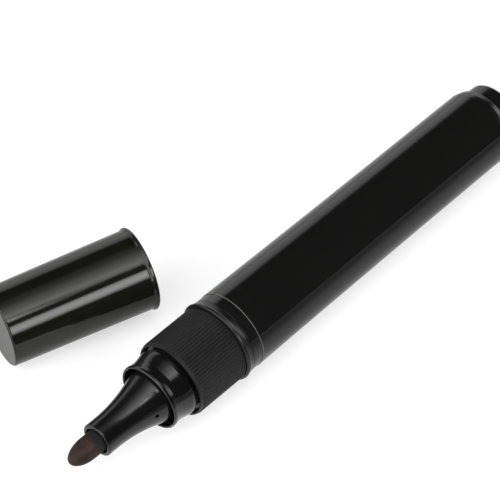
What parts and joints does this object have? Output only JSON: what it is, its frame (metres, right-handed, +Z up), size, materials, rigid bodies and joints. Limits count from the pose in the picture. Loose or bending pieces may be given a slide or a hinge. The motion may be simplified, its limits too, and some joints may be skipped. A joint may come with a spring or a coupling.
{
  "type": "felt tip marker",
  "caption": "Round black felt tip marker lying with its cap off beside it: bullet nib in a flared nozzle, cupped collar, ribbed grip, stop ring, tapering barrel, and a lined pull-off cap.",
  "frame": {"origin": "centre of the bounding box's bottom, on the table that the marker and its cap lie on", "axes": "+X is the way the cap's mouth faces, along the table, and the longest side of the whole; the marker runs from nib to tail towards +X and +Y, 18.7 degrees from +X; +Z is up"},
  "size_m": [0.1218, 0.0484, 0.0183],
  "materials": {
    "nib_felt": "dense pressed fibre, slate grey neck, reddish brown point with an olive tip, matt",
    "nozzle_plastic": "black moulded plastic, glossy, fine turning-like polish marks",
    "collar_plastic": "black moulded plastic, glossy",
    "holder_plastic": "black moulded plastic, semi-gloss with a polished ring crest",
    "grip_rubber": "black soft grip, matt, fine lengthwise ribs",
    "barrel_plastic": "black extruded plastic, semi-gloss",
    "film_plastic": "black smooth film, plain, slightly wavy gloss",
    "plug_plastic": "black moulded plastic, semi-gloss",
    "reservoir_fibre": "lengthwise fibres soaked in black ink, matt",
    "wrap_film": "thin milky film",
    "cap_plastic": "black moulded plastic, high gloss",
    "liner_plastic": "dark grey moulded plastic, satin"
  },
  "bodies": {
    "marker": {"nib": "nib_felt", "nozzle": "nozzle_plastic", "collar": "collar_plastic", "front_holder": "holder_plastic", "grip_sleeve": "grip_rubber", "barrel": "barrel_plastic", "label_film": "film_plastic", "tail_plug": "plug_plastic", "ink_reservoir": "reservoir_fibre", "reservoir_wrap": "wrap_film"},
    "cap": {"cap_shell": "cap_plastic", "cap_liner": "liner_plastic"}
  },
  "joints": [
    {"name": "cap_pull_off", "type": "slide", "parent": "marker", "child": "cap", "axis": [-1, 0, 0], "range_m": [0, 0.035]}
  ]
}
